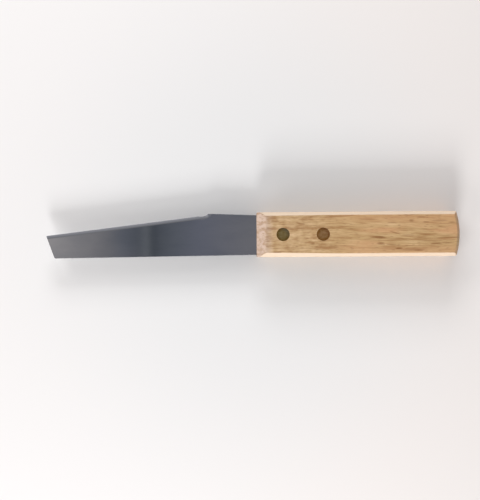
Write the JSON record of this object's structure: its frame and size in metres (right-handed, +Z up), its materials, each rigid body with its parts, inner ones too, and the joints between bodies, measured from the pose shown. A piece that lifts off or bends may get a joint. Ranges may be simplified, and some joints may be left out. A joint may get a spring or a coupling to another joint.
{
  "type": "trimming knife",
  "caption": "Trimming knife with a ground, tapered steel blade and square raked tip, its tang riveted into a slotted hardwood handle with chamfered edges.",
  "frame": {"origin": "on the surface that the knife lies on, under the middle of its length and of the handle's width", "axes": "+X along the knife from the tip to the butt, +Y from the blunt spine to the cutting edge, +Z up through the thickness"},
  "size_m": [0.2082, 0.0226, 0.012],
  "materials": {
    "blade_steel": "satin carbon steel, ground bright along the edge",
    "handle_wood": "sanded light brown hardwood with fine dark grain, unvarnished",
    "rivet_brass": "dull brass, sanded flush with the wood"
  },
  "bodies": {
    "root": {"blade": "blade_steel", "handle": "handle_wood", "front_rivet_post": "rivet_brass", "front_rivet_tube": "rivet_brass", "rear_rivet_post": "rivet_brass", "rear_rivet_tube": "rivet_brass"}
  },
  "joints": []
}
